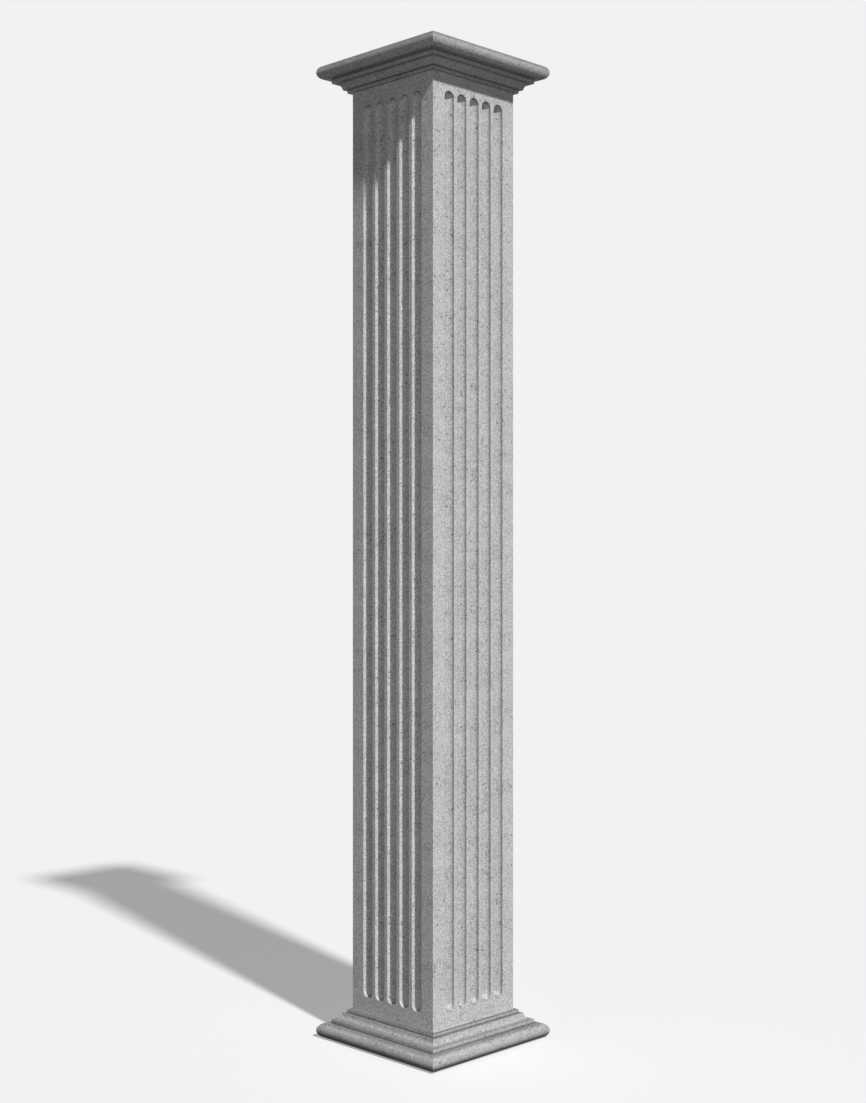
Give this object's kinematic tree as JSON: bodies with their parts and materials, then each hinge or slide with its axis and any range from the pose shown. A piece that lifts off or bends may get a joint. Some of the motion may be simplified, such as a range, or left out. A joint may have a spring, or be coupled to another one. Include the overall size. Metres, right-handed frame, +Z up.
{
  "type": "square fluted column",
  "caption": "Full-height square column of cast stone with fluted faces, a stepped moulding round its foot, the same moulding upside down round its head, and a steel post inside.",
  "frame": {"origin": "on the floor, at the column's upright axis", "axes": "+Z up along the column; -Y towards the front face and +X towards the right face, which are the two faces in the picture, seen corner-on"},
  "size_m": [0.415, 0.415, 2.4384],
  "materials": {
    "cast_stone": "pale grey cast stone with fine aggregate, matt",
    "primed_steel": "red oxide primer, matt",
    "galvanised_steel": "hot-dip galvanised, dull",
    "stainless_steel": "drawn bar, satin",
    "hard_plastic": "plain moulded"
  },
  "bodies": {
    "root": {"shaft_panel_front": "cast_stone", "base_moulding_front": "cast_stone", "capital_moulding_front": "cast_stone", "bearing_strip_front": "hard_plastic", "panel_hook_front_low": "galvanised_steel", "panel_hook_front_middle": "galvanised_steel", "panel_hook_front_high": "galvanised_steel", "capital_dowel_front_1": "stainless_steel", "capital_dowel_front_2": "stainless_steel", "shaft_panel_right": "cast_stone", "base_moulding_right": "cast_stone", "capital_moulding_right": "cast_stone", "bearing_strip_right": "hard_plastic", "panel_hook_right_low": "galvanised_steel", "panel_hook_right_middle": "galvanised_steel", "panel_hook_right_high": "galvanised_steel", "capital_dowel_right_1": "stainless_steel", "capital_dowel_right_2": "stainless_steel", "shaft_panel_back": "cast_stone", "base_moulding_back": "cast_stone", "capital_moulding_back": "cast_stone", "bearing_strip_back": "hard_plastic", "panel_hook_back_low": "galvanised_steel", "panel_hook_back_middle": "galvanised_steel", "panel_hook_back_high": "galvanised_steel", "capital_dowel_back_1": "stainless_steel", "capital_dowel_back_2": "stainless_steel", "shaft_panel_left": "cast_stone", "base_moulding_left": "cast_stone", "capital_moulding_left": "cast_stone", "bearing_strip_left": "hard_plastic", "panel_hook_left_low": "galvanised_steel", "panel_hook_left_middle": "galvanised_steel", "panel_hook_left_high": "galvanised_steel", "capital_dowel_left_1": "stainless_steel", "capital_dowel_left_2": "stainless_steel", "top_slab": "cast_stone", "post": "primed_steel", "post_base_plate": "primed_steel", "post_cap_plate": "primed_steel", "support_collar_low": "primed_steel", "support_collar_middle": "primed_steel", "support_collar_high": "primed_steel", "anchor_stud_1": "galvanised_steel", "anchor_washer_1": "galvanised_steel", "anchor_nut_1": "galvanised_steel", "anchor_stud_2": "galvanised_steel", "anchor_washer_2": "galvanised_steel", "anchor_nut_2": "galvanised_steel", "anchor_stud_3": "galvanised_steel", "anchor_washer_3": "galvanised_steel", "anchor_nut_3": "galvanised_steel", "anchor_stud_4": "galvanised_steel", "anchor_washer_4": "galvanised_steel", "anchor_nut_4": "galvanised_steel"}
  },
  "joints": []
}
